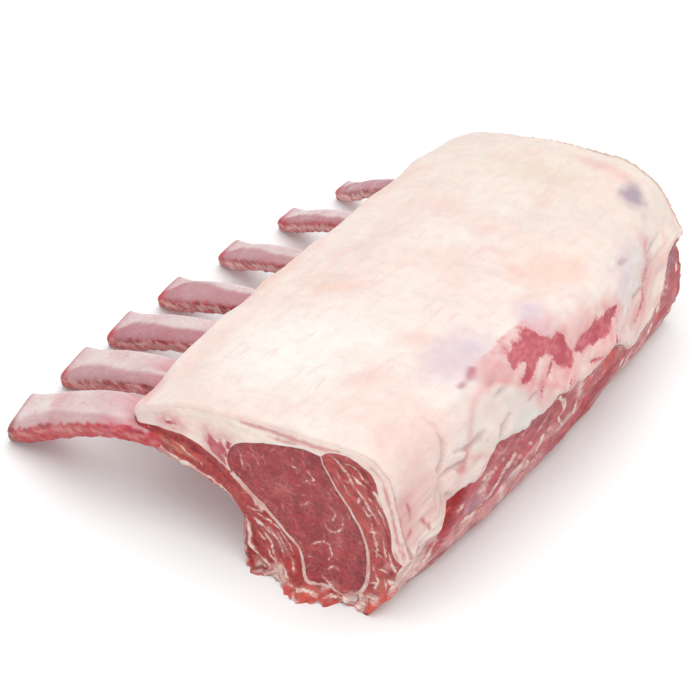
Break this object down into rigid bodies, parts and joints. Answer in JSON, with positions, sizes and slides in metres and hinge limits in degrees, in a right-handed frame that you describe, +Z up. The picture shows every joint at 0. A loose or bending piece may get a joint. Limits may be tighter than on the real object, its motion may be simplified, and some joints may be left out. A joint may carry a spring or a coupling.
{
  "type": "raw rack of lamb",
  "caption": "Raw frenched rack of lamb: a loin block under a fat cap, cut across at both ends, with bare rib bones sloping down on one side.",
  "frame": {"origin": "middle of the bounding box, on the surface that the rack lies on", "axes": "+Z up, +Y along the block from the near cut face to the far one, -X towards the rib tips"},
  "size_m": [0.1794, 0.2098, 0.0684],
  "materials": {
    "fat": "moist cream-white fat with a pink blush and fine fibres",
    "eye_lean": "moist dusky crimson lean with fine pale flecks",
    "cap_lean": "moist red lean with white seams",
    "rib_lean": "moist dark red lean under a pale membrane",
    "bone": "silvery pink bone skin with ragged red sides"
  },
  "bodies": {
    "root": {"fat_cap": "fat", "loin_eye": "eye_lean", "cap_meat": "cap_lean", "rib_meat": "rib_lean", "rib_1": "bone", "rib_2": "bone", "rib_3": "bone", "rib_4": "bone", "rib_5": "bone", "rib_6": "bone", "rib_7": "bone"}
  },
  "joints": []
}
